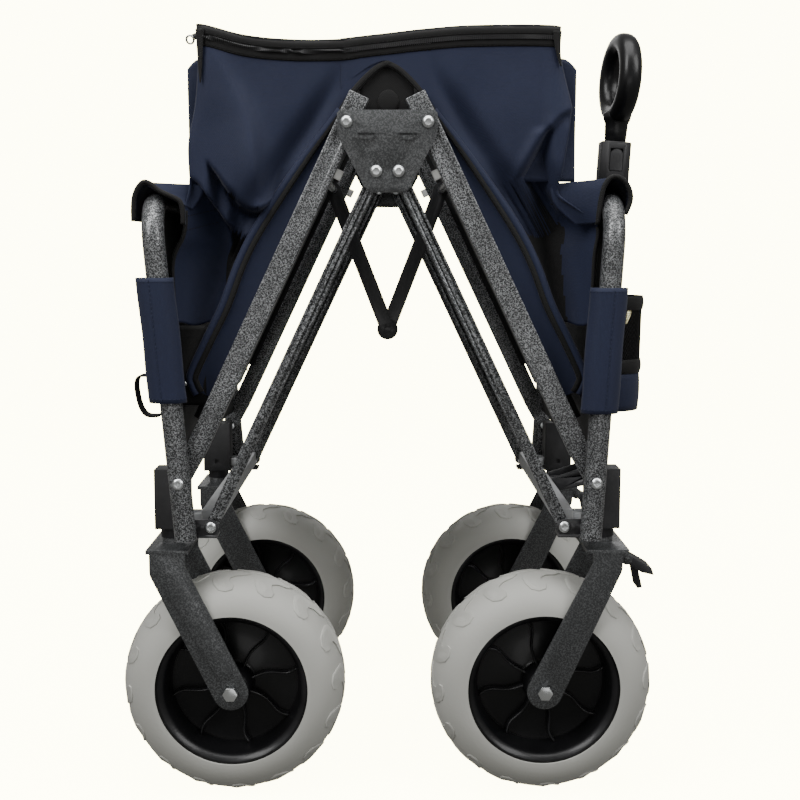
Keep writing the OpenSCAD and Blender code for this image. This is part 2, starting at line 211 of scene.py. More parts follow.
def weaveGroup():
    tree, w, gin, gout = shaderGroup(
        "plainWeave",
        [("Thread", colourKind, (0.03, 0.05, 0.12, 1)), ("Gap", colourKind, (0.01, 0.02, 0.05, 1)),
         ("Scale", floatKind, 900.0), ("Slub", floatKind, 0.4)],
        [("Color", colourKind), ("Roughness", floatKind), ("Height", floatKind)])
    place = w.add("ShaderNodeTexCoord")
    split = w.add("ShaderNodeSeparateXYZ")
    w.join(place.outputs["Object"], split.inputs[0])
    waves = []
    for way in (sums(w, "ADD", split.outputs["X"], split.outputs["Y"]), split.outputs["Z"]):
        threads = sums(w, "MULTIPLY", way, gin.outputs["Scale"])
        waves.append(sums(w, "SINE", sums(w, "MULTIPLY", threads, fullTurn), 0.0))
    cloth = ramp(w, sums(w, "MULTIPLY", *waves), -1.0, 1.0)
    stretched = w.add("ShaderNodeMapping")
    stretched.inputs["Scale"].default_value = (1.0, 1.0, 6.0)
    w.join(place.outputs["Object"], stretched.inputs["Vector"])
    slub = noiseAt(w, stretched.outputs[0], {"Scale": 160.0, "Detail": 4.0})
    broad = noiseAt(w, place.outputs["Object"], {"Scale": 9.0, "Detail": 3.0})
    tone = sums(w, "MULTIPLY", slub.outputs["Fac"], gin.outputs["Slub"])
    tone = sums(w, "ADD", sums(w, "MULTIPLY", cloth, 0.5), tone)
    tone = sums(w, "ADD", tone, sums(w, "MULTIPLY", broad.outputs["Fac"], 0.35))
    mixed = mixColour(w, ramp(w, tone, 0.25, 1.0), gin.outputs["Gap"], gin.outputs["Thread"])
    w.join(mixed, gout.inputs["Color"])
    w.join(sums(w, "ADD", 0.62, sums(w, "MULTIPLY", slub.outputs["Fac"], 0.2)), gout.inputs["Roughness"])
    w.join(sums(w, "ADD", cloth, slub.outputs["Fac"]), gout.inputs["Height"])
    return tree


def grainGroup():
    tree, w, gin, gout = shaderGroup(
        "fineGrain",
        [("Base", colourKind, (0.02, 0.02, 0.02, 1)), ("Worn", colourKind, (0.1, 0.1, 0.1, 1)),
         ("Scale", floatKind, 900.0), ("Smooth", floatKind, 0.4), ("Spread", floatKind, 0.25)],
        [("Color", colourKind), ("Roughness", floatKind), ("Height", floatKind)])
    place = w.add("ShaderNodeTexCoord")
    fine = noiseAt(w, place.outputs["Object"], {"Detail": 3.0})
    w.join(gin.outputs["Scale"], fine.inputs["Scale"])
    broad = noiseAt(w, place.outputs["Object"], {"Scale": 22.0, "Detail": 5.0, "Roughness": 0.6})
    edges = w.add("ShaderNodeNewGeometry")
    pointy = ramp(w, edges.outputs["Pointiness"], 0.52, 0.6)
    worn = sums(w, "MULTIPLY", pointy, ramp(w, broad.outputs["Fac"], 0.4, 0.75))
    worn = sums(w, "ADD", worn, sums(w, "MULTIPLY", ramp(w, broad.outputs["Fac"], 0.45, 0.8), 0.18))
    w.join(mixColour(w, worn, gin.outputs["Base"], gin.outputs["Worn"]), gout.inputs["Color"])
    rough = sums(w, "MULTIPLY", broad.outputs["Fac"], gin.outputs["Spread"])
    w.join(sums(w, "ADD", gin.outputs["Smooth"], rough), gout.inputs["Roughness"])
    w.join(fine.outputs["Fac"], gout.inputs["Height"])
    return tree


groups = {"hammer": hammeredGroup(), "weave": weaveGroup(), "grain": grainGroup()}


def finish(name, group, values, metallic=0.0, bump=0.2, distance=0.0004, coat=0.0, sheen=0.0, specular=0.5):
    material = bpy.data.materials.new(name)
    material.use_nodes = True
    w = Wires(material.node_tree)
    shader = material.node_tree.nodes["Principled BSDF"]
    pattern = w.add("ShaderNodeGroup")
    pattern.node_tree = groups[group]
    for key, value in values.items():
        pattern.inputs[key].default_value = (*value, 1) if isinstance(value, tuple) else value
    relief = w.add("ShaderNodeBump", {"Strength": bump, "Distance": distance})
    w.join(pattern.outputs["Height"], relief.inputs["Height"])
    w.join(pattern.outputs["Color"], shader.inputs["Base Color"])
    w.join(pattern.outputs["Roughness"], shader.inputs["Roughness"])
    w.join(relief.outputs["Normal"], shader.inputs["Normal"])
    shader.inputs["Metallic"].default_value = metallic
    shader.inputs["Coat Weight"].default_value = coat
    shader.inputs["Coat Roughness"].default_value = 0.12
    shader.inputs["Sheen Weight"].default_value = sheen
    shader.inputs["Specular IOR Level"].default_value = specular
    return material


looks = {
    "hammered": finish("hammeredGrey", "hammer",
                       {"Base": (0.020, 0.021, 0.022), "Fleck": (0.36, 0.37, 0.38), "Scale": 760.0,
                        "Amount": 0.78},
                       metallic=0.35, bump=0.35, distance=0.0004, coat=0.25),
    "hammered_plate": finish("hammeredPressings", "hammer",
                             {"Base": (0.036, 0.038, 0.039), "Fleck": (0.15, 0.155, 0.16), "Scale": 640.0,
                              "Amount": 0.6}, metallic=0.35, bump=0.3, distance=0.0004, coat=0.2),
    "black_steel": finish("satinBlackSteel", "grain",
                          {"Base": (0.012, 0.012, 0.014), "Worn": (0.06, 0.06, 0.06), "Smooth": 0.3},
                          coat=0.2),
    "grey_beam": finish("greyBeamPaint", "grain",
                        {"Base": (0.3, 0.31, 0.32), "Worn": (0.45, 0.45, 0.44), "Smooth": 0.35},
                        metallic=0.3),
    "black_plastic": finish("grainedBlackPlastic", "grain",
                            {"Base": (0.011, 0.011, 0.0125), "Worn": (0.035, 0.035, 0.036), "Smooth": 0.42}),
    "light_plastic": finish("lightPlastic", "grain",
                            {"Base": (0.68, 0.68, 0.66), "Worn": (0.8, 0.8, 0.78), "Smooth": 0.4}),
    "zinc": finish("brightZinc", "grain",
                   {"Base": (0.62, 0.64, 0.65), "Worn": (0.8, 0.81, 0.8), "Smooth": 0.16, "Scale": 500.0},
                   metallic=1.0, bump=0.08),
    "navy_fabric": finish("navyPolyester", "weave",
                          {"Thread": (0.011, 0.017, 0.05), "Gap": (0.0048, 0.0078, 0.025), "Scale": 700.0},
                          bump=0.3, sheen=0.07, specular=0.35),
    # black fabric and webbing; also used as painted shade on the deep faces of the side panels
    "black_fabric": finish("blackWebbing", "weave",
                           {"Thread": (0.009, 0.0088, 0.0088), "Gap": (0.003, 0.003, 0.003), "Scale": 420.0},
                           bump=0.5, sheen=0.05, specular=0.25),
    "grey_tyre": finish("greyFoamTyre", "grain",
                        {"Base": (0.43, 0.43, 0.40), "Worn": (0.54, 0.54, 0.50), "Smooth": 0.45,
                         "Scale": 260.0},
                        bump=0.3, distance=0.0005),
    "gloss_black": finish("glossBlackPlastic", "grain",
                          {"Base": (0.004, 0.004, 0.0045), "Worn": (0.020, 0.020, 0.022), "Smooth": 0.30,
                           "Spread": 0.12, "Scale": 350.0}, bump=0.06, coat=0.12, specular=0.3),
}
slotOf = {p["node"]: p["material_slot"] for p in frame["record"]["subparts"]}
for nodeName, nodeObject in frame["nodes"].items():
    nodeObject.data.materials.clear()
    nodeObject.data.materials.append(looks[slotOf[nodeName]])
print("finishes mixed")

# mesh helpers


def meshObject(name, verts, faces, edges=()):
    mesh = bpy.data.meshes.new(name)
    mesh.from_pydata([tuple(v) for v in verts], edges, faces)
    return linked(name, mesh)


def shade(mesh, smooth=True):
    for polygon in mesh.polygons:
        polygon.use_smooth = smooth


def newPiece(name, verts, faces, slot, body=None, smooth=True):
    piece = meshObject(name, verts, faces)
    piece.data.validate()
    piece.data.materials.append(looks[slot])
    shade(piece.data, smooth)
    if body:
        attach(piece, body)
    return piece


def tidyMesh(piece, merge=0.00001):
    mesh = bmesh.new()
    mesh.from_mesh(piece.data)
    bmesh.ops.remove_doubles(mesh, verts=mesh.verts, dist=merge)
    bmesh.ops.recalc_face_normals(mesh, faces=mesh.faces)
    mesh.to_mesh(piece.data)
    mesh.free()


def bake(piece):
    # applies every modifier by taking the evaluated mesh
    graph = bpy.context.evaluated_depsgraph_get()
    done = bpy.data.meshes.new_from_object(piece.evaluated_get(graph))
    piece.modifiers.clear()
    piece.data = done


def grid(rows, columns, closeRows=False, closeColumns=False):
    faces = []
    for i in range(rows if closeRows else rows - 1):
        for j in range(columns if closeColumns else columns - 1):
            a = i * columns + j
            b = i * columns + (j + 1) % columns
            c = ((i + 1) % rows) * columns + (j + 1) % columns
            d = ((i + 1) % rows) * columns + j
            faces.append((a, b, c, d))
    return faces


def tubeAlong(name, points, radius, slot, body=None, sides=10, flat=1.0, closed=False):
    # a cord-like solid swept along points, with capped ends
    points = [Vector(p) for p in points]
    count = len(points)
    verts = []
    side = None
    for i, p in enumerate(points):
        before = points[i - 1] if i or closed else points[0]
        after = points[(i + 1) % count] if i < count - 1 or closed else points[-1]
        ahead = (after - before).normalized()
        if side is None:
            side = ahead.cross(Vector((0, 1, 0)))
            if side.length < 0.1:
                side = ahead.cross(Vector((0, 0, 1)))
        side = (side - ahead * side.dot(ahead)).normalized()
        up = ahead.cross(side)
        for k in range(sides):
            a = 2 * math.pi * k / sides
            verts.append(p + radius * (math.cos(a) * side + flat * math.sin(a) * up))
    faces = grid(count, sides, closeRows=closed, closeColumns=True)
    if not closed:
        faces.append(tuple(range(sides)))
        faces.append(tuple(range(count * sides - sides, count * sides))[::-1])
    piece = newPiece(name, verts, faces, slot, body)
    tidyMesh(piece)
    return piece


def joined(name, parts):
    # joins pieces of one slot into the first one
    mesh = bmesh.new()
    for part in parts:
        mesh.from_mesh(part.data)
    mesh.to_mesh(parts[0].data)
    mesh.free()
    for part in parts[1:]:
        bpy.data.objects.remove(part)
    parts[0].name = name
    return parts[0]


pressedNodes = ("hub_plates", "rear_forks", "near_caster_fork", "far_caster_fork")


def softened(node, body, width):
    # the CAD node again, with its sharp edges eased
    source = frame["nodes"][node]
    piece = linked(node + "_eased", source.data.copy())
    tidyMesh(piece, merge=0.00002)
    ease = piece.modifiers.new("ease", "BEVEL")
    ease.width = width
    ease.segments = 2
    ease.limit_method = "ANGLE"
    ease.angle_limit = math.radians(35)
    ease.use_clamp_overlap = True
    ease.harden_normals = True
    shade(piece.data)
    piece.data.set_sharp_from_angle(angle=math.radians(60))
    bake(piece)
    if node in pressedNodes:
        piece.data.materials[0] = looks["hammered_plate"]
    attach(piece, body)
    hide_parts(node)
    return piece


bodyOf = {nodeName: bodyName for bodyName, nodeNames in frame["record"]["behaviour"]["bodies"].items()
          for nodeName in nodeNames}
for nodeName, width in (("rear_arms", 0.0018), ("front_arms", 0.0018), ("rear_links", 0.0012),
                        ("front_links", 0.0012), ("hub_plates", 0.0007), ("rear_housings", 0.0018),
                        ("front_housings", 0.0018), ("rear_forks", 0.0009), ("near_caster_fork", 0.0009),
                        ("far_caster_fork", 0.0009), ("handle_collar", 0.0016), ("handle_button", 0.0008),
                        ("near_brake_pedal", 0.001), ("far_brake_pedal", 0.001), ("rear_beam", 0.001),
                        ("front_beam", 0.001), ("rear_brackets", 0.0006), ("front_brackets", 0.0006),
                        ("rear_stay", 0.0005), ("front_stay", 0.0005), ("handle_bracket", 0.0008),
                        ("rear_axles", 0.0005), ("near_caster_axle", 0.0005), ("far_caster_axle", 0.0005),
                        ("hub_rivets", 0.0008), ("rear_frame_screws", 0.0004),
                        ("front_frame_screws", 0.0004), ("rear_stops", 0.0008), ("front_stops", 0.0008)):
    softened(nodeName, bodyOf[nodeName], width)
print("metal and moulded parts eased")

# geometry nodes: rows along a path


def rowTree():
    # repeats one item along a path, its X axis along the path
    tree = bpy.data.node_groups.new("itemsInARow", "GeometryNodeTree")
    for label, kind in (("Path", "NodeSocketGeometry"), ("Item", "NodeSocketObject"),
                        ("Spacing", "NodeSocketFloat"), ("Material", "NodeSocketMaterial")):
        tree.interface.new_socket(name=label, in_out="INPUT", socket_type=kind)
    tree.interface.new_socket(name="Geometry", in_out="OUTPUT", socket_type="NodeSocketGeometry")
    w = Wires(tree)
    gin = w.add("NodeGroupInput")
    gout = w.add("NodeGroupOutput")
    curve = w.add("GeometryNodeMeshToCurve")
    steps = w.add("GeometryNodeResampleCurve", mode="LENGTH")
    points = w.add("GeometryNodeCurveToPoints", mode="EVALUATED")
    item = w.add("GeometryNodeObjectInfo", transform_space="ORIGINAL")
    place = w.add("GeometryNodeInstanceOnPoints")
    turn = w.add("FunctionNodeAlignRotationToVector", axis="X")
    real = w.add("GeometryNodeRealizeInstances")
    paint = w.add("GeometryNodeSetMaterial")
    for source, output, target, entry in (
            (gin, "Path", curve, "Mesh"), (curve, "Curve", steps, "Curve"),
            (gin, "Spacing", steps, "Length"), (steps, "Curve", points, "Curve"),
            (gin, "Item", item, "Object"), (points, "Points", place, "Points"),
            (item, "Geometry", place, "Instance"), (points, "Tangent", turn, "Vector"),
            (turn, "Rotation", place, "Rotation"), (place, "Instances", real, "Geometry"),
            (real, "Geometry", paint, "Geometry"), (gin, "Material", paint, "Material"),
            (paint, "Geometry", gout, "Geometry")):
        w.join(source.outputs[output], target.inputs[entry])
    return tree


rowNodes = rowTree()


def capsule(name, length, radius, sides=6):
    verts = []
    for t, r in ((-0.5, 0.35), (-0.38, 1), (0.38, 1), (0.5, 0.35)):
        for k in range(sides):
            a = 2 * math.pi * k / sides
            verts.append((t * length, r * radius * math.cos(a), r * radius * math.sin(a)))
    faces = grid(4, sides, closeColumns=True)
    faces += [tuple(range(sides)), tuple(range(3 * sides, 4 * sides))[::-1]]
    item = meshObject(name, verts, faces)
    tidyMesh(item)
    shade(item.data)
    return item


def blockItem(name, size):
    x, y, z = (v / 2 for v in size)
    verts = [(sx * x, sy * y, sz * z) for sx in (-1, 1) for sy in (-1, 1) for sz in (-1, 1)]
    return meshObject(name, verts, [(0, 1, 3, 2), (4, 6, 7, 5), (0, 4, 5, 1), (2, 3, 7, 6), (0, 2, 6, 4),
                                    (1, 5, 7, 3)])


items = {"stitch": capsule("stitchItem", 0.0030, 0.00035),
         "tooth": blockItem("toothItem", (0.0011, 0.0016, 0.0042))}
stitchPitch = 0.0042
toothPitch = 0.0019


def row(name, points, item, spacing, slot, body=None):
    piece = meshObject(name, points, [], [(i, i + 1) for i in range(len(points) - 1)])
    steps = piece.modifiers.new("row", "NODES")
    steps.node_group = rowNodes
    sockets = {s.name: s.identifier for s in rowNodes.interface.items_tree if s.in_out == "INPUT"}
    for label, value in (("Item", items[item]), ("Spacing", spacing), ("Material", looks[slot])):
        steps[sockets[label]] = value
    bake(piece)
    if body:
        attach(piece, body)
    return piece


def stitched(name, points, body=None, slot="black_fabric"):
    return row(name, points, "stitch", stitchPitch, slot, body)


# wheels
wheelSet = {"rims": 0.0795, "outer": 0.115, "halfWidth": 0.0428, "blocks": 16, "ribs": 8}
# an arrow-shaped tread block: share of its step round the tyre, share of the half width
arrowOutline = [(-0.44, 0.09), (-0.10, 0.03), (0.22, 0.05), (0.42, 0.20), (0.48, 0.42), (0.44, 0.62),
                (0.34, 0.78), (0.14, 0.84), (-0.04, 0.80), (-0.06, 0.70), (0.06, 0.58), (0.06, 0.44),
                (-0.08, 0.32), (-0.30, 0.26)]


def lathe(profile, steps, centre):
    # turns (radius, across) pairs about the wheel's axle
    verts = []
    for i in range(steps):
        a = 2 * math.pi * i / steps
        for r, across in profile:
            verts.append((centre[0] + r * math.cos(a), centre[1] + across, centre[2] + r * math.sin(a)))
    return verts, grid(steps, len(profile), closeRows=True, closeColumns=True)


def crown(across, s):
    # tyre radius at a place across its width
    t = min(1.0, abs(across) / s["halfWidth"])
    return s["outer"] - 0.001 - 0.036 * (1 - math.sqrt(max(0.0, 1 - t ** 2.3)))


def tyre(name, centre, body, node, s):
    count = 40
    profile = []
    for i in range(count + 1):
        a = math.pi * (i / count) - math.pi / 2
        across = s["halfWidth"] * math.sin(a)
        profile.append((crown(across, s), across))
    inner = [(s["rims"] + 0.0012, 0.0385), (s["rims"] - 0.003, 0.036), (s["rims"] - 0.003, -0.036),
             (s["rims"] + 0.0012, -0.0385)]
    verts, faces = lathe(profile + inner, 160, centre)
    carcass = newPiece(name, verts, faces, "grey_tyre")
    tidyMesh(carcass)
    # blocks are mirrored about the middle and half a step apart; their sides rise through three rings
    blockVerts = []
    blockFaces = []
    step = 2 * math.pi / s["blocks"]
    n = len(arrowOutline)
    for side in (-1, 1):
        for k in range(s["blocks"]):
            start = step * (k + (0.5 if side > 0 else 0))
            base = len(blockVerts)
            for lift, shrink in ((-0.0012, 1.0), (0.0008, 0.985), (0.0013, 0.93)):
                for u, v in arrowOutline:
                    across = side * (0.5 + (v - 0.5) * shrink) * s["halfWidth"] * 0.93
                    slope = (crown(across + 0.0004, s) - crown(across - 0.0004, s)) / 0.0008
                    tilt = 1 / math.sqrt(1 + slope * slope)
                    r = crown(across, s) + lift * tilt
                    across = across - lift * slope * tilt
                    a = start + u * shrink * step
                    blockVerts.append((centre[0] + r * math.cos(a), centre[1] + across,
                                       centre[2] + r * math.sin(a)))
            blockFaces += [tuple(base + v for v in face) for face in grid(3, n, closeColumns=True)]
            blockFaces.append(tuple(base + 2 * n + i for i in range(n)))
            blockFaces.append(tuple(base + i for i in range(n))[::-1])
    blocks = newPiece(name + "Blocks", blockVerts, blockFaces, "grey_tyre", smooth=False)
    tidyMesh(blocks)
    piece = joined(name, [carcass, blocks])
    piece.data.set_sharp_from_angle(angle=math.radians(40))
    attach(piece, body)
    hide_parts(node)


def rim(name, centre, body, node, s):
    r = s["rims"]
    wall = [(r + 0.0008, -0.0372), (r - 0.0035, -0.0385), (r - 0.0085, -0.0355), (r - 0.0100, -0.0310),
            (r - 0.0125, -0.0180), (r - 0.0135, -0.0040), (0.0230, -0.0030), (0.0195, -0.0060),
            (0.0180, -0.0340), (0.0165, -0.0355), (0.0062, -0.0355), (0.0062, 0.0355), (0.0165, 0.0355),
            (0.0180, 0.0340), (0.0195, 0.0060), (0.0230, 0.0030), (r - 0.0135, 0.0040), (r - 0.0125, 0.0180),
            (r - 0.0100, 0.0310), (r - 0.0085, 0.0355), (r - 0.0035, 0.0385), (r + 0.0008, 0.0372),
            (r - 0.0036, 0.0350), (r - 0.0036, -0.0350)]
    barrel = newPiece(name, *lathe(wall, 96, centre), "gloss_black")
    tidyMesh(barrel)
    barrel.data.set_sharp_from_angle(angle=math.radians(45))
    parts = [barrel]
    hubEdge = 0.0165
    steps = 14
    for side in (-1, 1):
        for k in range(s["ribs"]):
            turn = 2 * math.pi * (k + 0.3) / s["ribs"]
            ribVerts = []
            for i in range(steps + 1):
                t = i / steps
                reach = hubEdge + t * (r - 0.0115 - hubEdge)
                swing = turn + 0.075 * math.sin(t * 2 * math.pi) * (0.6 + 0.4 * t)
                width = 0.0013 - 0.0002 * t
                depth = 0.0150 - 0.003 * math.sin(t * math.pi)
                direction = Vector((math.cos(swing), 0, math.sin(swing)))
                crossways = Vector((-math.sin(swing), 0, math.cos(swing)))
                for w, d in ((-1, 0.001), (-1, depth - 0.001), (0, depth), (1, depth - 0.001), (1, 0.001)):
                    p = Vector(centre) + direction * reach + crossways * (w * width)
                    ribVerts.append((p.x, p.y + side * d, p.z))
            ribFaces = grid(steps + 1, 5, closeColumns=True)
            ribFaces.append(tuple(range(5)))
            ribFaces.append(tuple(range(steps * 5, steps * 5 + 5))[::-1])
            rib = newPiece(name + "Rib", ribVerts, ribFaces, "gloss_black")
            tidyMesh(rib)
            parts.append(rib)
    piece = joined(name, parts)
    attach(piece, body)
    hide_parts(node)


for end in ("rear", "front"):
    for side in ("near", "far"):
        key = end + "_" + side
        middle = joints[key + "_wheel_spin"]["pos_m"]
        tyre(key + "_tyre_treaded", middle, key + "_wheel", key + "_tyre", wheelSet)
        rim(key + "_rim_ribbed", middle, key + "_wheel", key + "_rim", wheelSet)
print("wheels built")

# side fabric
pivot = joints["front_frame_level"]["pos_m"]
pivotX, pivotZ = pivot[0], pivot[2]
foldTurn = math.radians(joints["fold"]["range_deg"][1])
restLean = math.atan2(pivotX - 0.040, 0.687 - pivotZ)
openHalf = 0.040 + math.hypot(pivotX - 0.040, 0.687 - pivotZ)
sideSet = {"edge": 0.197, "past": 0.046, "y": 0.1915, "layer": 0.0014, "thick": 0.0011, "columns": 124,
           "rows": 104, "corner": 0.77, "foot": 0.0165}
# heights of the top edge and of the piping, from the middle (0) to the end frame; rear is x < 0
topLine = {"rear": [(-0.05, 0.7775), (0.0, 0.7735), (0.045, 0.768), (0.094, 0.767), (0.142, 0.7716),
                    (0.186, 0.782), (0.25, 0.786)],
           "front": [(-0.05, 0.768), (0.0, 0.7735), (0.04, 0.778), (0.083, 0.7806), (0.142, 0.7815),
                     (0.186, 0.7795), (0.25, 0.779)]}
pipingLine = [(-0.05, 0.717), (-0.030, 0.734), (-0.014, 0.744), (0.0, 0.7475), (0.014, 0.740),
              (0.033, 0.721), (0.048, 0.699), (0.076, 0.660), (0.104, 0.619), (0.131, 0.577),
              (0.147, 0.545), (0.162, 0.506), (0.180, 0.470), (0.195, 0.438)]
# outer edge of the loose fabric by height, and the lines of its big folds, x counted outwards
foldLines = {
    "rear": {
        "edge": [(0.480, 0.2140), (0.535, 0.2165), (0.552, 0.2155), (0.563, 0.212), (0.575, 0.2055),
                 (0.590, 0.2025), (0.606, 0.2020), (0.625, 0.1975), (0.668, 0.1975), (0.705, 0.190),
                 (0.735, 0.187), (0.766, 0.186), (0.79, 0.186)],
        "lip": [(-0.05, 0.68), (0.02, 0.68), (0.068, 0.672), (0.086, 0.650), (0.102, 0.626), (0.118, 0.607),
                (0.128, 0.6015), (0.139, 0.6020), (0.149, 0.6075), (0.1566, 0.618), (0.172, 0.640),
                (0.182, 0.654)],
        "tongue": [(0.12, 0.545), (0.158, 0.584), (0.177, 0.611), (0.1875, 0.627), (0.199, 0.637)],
        "ridge": [(0.60, 0.1285), (0.656, 0.133), (0.695, 0.141), (0.726, 0.155), (0.748, 0.168),
                  (0.770, 0.182)]},
    "front": {
        "edge": [(0.480, 0.2065), (0.530, 0.2078), (0.560, 0.2090), (0.582, 0.2120), (0.592, 0.2070),
                 (0.604, 0.190), (0.618, 0.172), (0.640, 0.174), (0.667, 0.1785), (0.698, 0.1825),
                 (0.704, 0.1825), (0.737, 0.1745), (0.761, 0.170), (0.79, 0.170)],
        "lip": [(-0.05, 0.68), (0.02, 0.68), (0.050, 0.640), (0.080, 0.600), (0.110, 0.582), (0.130, 0.585),
                (0.145, 0.592), (0.160, 0.602), (0.172, 0.616), (0.188, 0.640)],
        "slit": [(0.600, 0.146), (0.650, 0.151), (0.683, 0.1615)],
        "brow": [(0.150, 0.673), (0.161, 0.682), (0.172, 0.694), (0.186, 0.700)]}}


clothMerge = 0.000001


def cubic(t, a, b, slopeA, slopeB):
    return ((2 * t ** 3 - 3 * t ** 2 + 1) * a + (t ** 3 - 2 * t ** 2 + t) * slopeA
            + (3 * t ** 2 - 2 * t ** 3) * b + (t ** 3 - t ** 2) * slopeB)


def lineAt(line, x):
    # smooth curve through (x, value) pairs
    for i in range(len(line) - 1):
        if x <= line[i + 1][0] or i == len(line) - 2:
            break
    x0, y0 = line[i]
    x1, y1 = line[i + 1]
    before = line[max(0, i - 1)]
    after = line[min(len(line) - 1, i + 2)]
    h = x1 - x0
    slopeA = (y1 - before[1]) / (x1 - before[0])
    slopeB = (after[1] - y0) / (after[0] - x0)
    return cubic((x - x0) / h, y0, y1, h * slopeA, h * slopeB)


def fanWeight(x, z):
    # how far a point of the side fabric turns with the arm; x counts outwards from the middle
    dx = pivotX - x
    dz = z - pivotZ
    r = max(0.02, math.hypot(dx, dz))
    angle = math.atan2(dx, dz)
    edge = math.asin(min(1, (pivotX - sideSet["edge"]) / r))
    rise = 0.292 + 0.045 * min(1, max(0, (r - 0.29) / 0.155))
    openEdge = edge if r <= 0.292 else max(edge, math.acos(min(1, rise / r)))
    reach = openHalf + 0.004
    if r <= 0.425:
        farRest = restLean - 0.0285 * 0.9 / r
        farOpen = farRest + foldTurn
    else:
        mixIn = min(1, (r - 0.425) / 0.02)
        farRest = (restLean - 0.06) * (1 - mixIn) + mixIn * math.asin(min(1, (pivotX + sideSet["past"]) / r))
        farOpen = (restLean - 0.06 + foldTurn) * (1 - mixIn) + mixIn * math.asin(min(1, reach / r))
    s = (angle - edge) / max(0.02, farRest - edge)
    s = min(1.12, max(-0.6, s))
    turned = openEdge + (farOpen - openEdge) * s
    if s < 0:
        turned = openEdge + (angle - edge)
    if r <= 0.425 and s > 1:
        turned = angle + foldTurn
    return min(1.0, max(0.0, (turned - angle) / foldTurn))


def offLine(line, at, value):
    # distance of a point above a line given as value over at
    at = min(line[-1][0], max(line[0][0], at))
    slope = (lineAt(line, at + 0.001) - lineAt(line, at - 0.001)) / 0.002
    return (value - lineAt(line, at)) / math.hypot(1, slope)


def softLine(line, steps):
    # evenly shared points on a smooth curve through the given ones
    found = []
    for i in range(steps + 1):
        t = i / steps * (len(line) - 1)
        k = min(int(t), len(line) - 2)
        a, b = Vector(line[k]), Vector(line[k + 1])
        before, after = Vector(line[max(0, k - 1)]), Vector(line[min(len(line) - 1, k + 2)])
        found.append(cubic(t - k, a, b, (b - before) / 2, (after - a) / 2))
    return found


def ease01(t):
    t = min(1, max(0, t))
    return t * t * (3 - 2 * t)


def edgeAt(end, z):
    return lineAt(foldLines[end]["edge"], z)


def sideX(end, x):
    return -x if end == "rear" else x


def sideSign(side):
    return -1 if side == "near" else 1


def sideOut(side):
    return (0, sideSign(side), 0)


def bent(value, power):
    # a cosine or sine drawn towards a squarer outline
    return math.copysign(abs(value) ** power, value)


def foldDepth(x, z, end):
    # outward swell of the loose side fabric, x counted outwards from the middle
    lines = foldLines[end]
    fromPiping = abs(offLine(pipingLine, x, z))
    fromEdge = max(0, edgeAt(end, z) - x)
    lip = offLine(lines["lip"], x, z)
    outer = ease01((x - 0.035) / 0.05)
    rumple = noise.noise(Vector((x * 22, z * 13, 3.1 if end == "rear" else 9.7)))
    fine = noise.noise(Vector((x * 60, z * 35, 5.5)))
    main = 0.0009 + outer * (0.0035 * ease01(fromPiping / 0.03) + 0.0022 * rumple + 0.0004 * fine)
    main -= outer * 0.010 * math.exp(-((fromPiping - 0.017) / 0.010) ** 2)
    main -= 0.005 * math.exp(-fromEdge / 0.004)
    deep = -0.055 * (1 - math.exp(-fromEdge / 0.030)) * (1 - math.exp(-fromPiping / 0.014))
    deep += 0.002 * rumple + 0.0009
    if end == "rear":
        away = offLine(lines["ridge"], z, x)
        share = ease01((0.775 - z) / 0.16)
        reach = 0.030 if away > 0 else 0.012
        main += 0.019 * (0.15 + 0.85 * share) * math.exp(-(abs(away) / reach) ** 1.7)
        under = ease01(offLine(lines["tongue"], x, z) / 0.003 + 0.5)
        opened = ease01((0.181 - x) / 0.012)
        sunk = 0.016 + 0.012 * math.exp(-abs(lip) / 0.006) + 0.010 * ease01((0.16 - x) / 0.03)
        strip = main - opened * sunk
        deep = deep * (1 - under) + strip * under
    else:
        away = offLine(lines["slit"], z, x)
        share = ease01((0.69 - z) / 0.09)
        wide = 0.003 + 0.015 * share
        top = ease01((0.686 - z) / 0.010)
        main -= top * (0.008 + 0.026 * share) * math.exp(-(abs(away) / wide) ** 2.4)
        brow = offLine(lines["brow"], x, z)
        overhang = ease01(brow / 0.005 + 0.5) * ease01((x - 0.150) / 0.012)
        main += 0.006 * overhang * math.exp(-abs(brow) / 0.03)
        main += 0.006 * math.exp(-fromEdge / 0.010) * ease01((0.70 - z) / 0.02)
        main += 0.004 * math.exp(-((away + 0.004 + wide) / 0.007) ** 2) * top
        main -= 0.014 * ease01((0.655 - z) / 0.07) * outer
    above = ease01(lip / (0.005 if end == "rear" else 0.012) + 0.5)
    return main * above + deep * (1 - above)


def setBlend(piece, end):
    # the fabric's own share of the arm's turn at each point
    sign = sideX(end, 1)
    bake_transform(piece, end + "_frame", end + "_arms", start=(sign * 0.22, 0, 0.5), end=(sign * 0.10, 0, 0.5))
    attribute = piece.data.attributes["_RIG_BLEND"]
    for i, vertex in enumerate(piece.data.vertices):
        attribute.data[i].value = fanWeight(sign * vertex.co.x, vertex.co.z)


def outPoint(x, z, end, side, extra=0.0):
    # the front half lies over the rear one, and its free edge runs down into it
    over = sideSet["layer"] * (ease01((x + sideSet["past"]) / 0.03) - 0.25) if end == "front" else 0.0
    y = sideSet["y"] + over + foldDepth(x, z, end) + extra
    return (sideX(end, x), sideSign(side) * y, z)


def thicken(piece, thick, lined=None, out=None):
    # gives a sheet its thickness; a lined one has its second slot on the face away from out
    if lined:
        while len(piece.data.materials) < 2:
            piece.data.materials.append(looks[lined])
        mesh = bmesh.new()
        mesh.from_mesh(piece.data)
        mesh.normal_update()
        if sum(f.normal.dot(Vector(out)) * f.calc_area() for f in mesh.faces) < 0:
            bmesh.ops.reverse_faces(mesh, faces=mesh.faces)
        mesh.to_mesh(piece.data)
        mesh.free()
    wall = piece.modifiers.new("wall", "SOLIDIFY")
    wall.thickness = thick
    wall.offset = 0
    if lined:
        wall.material_offset = 1
    bake(piece)


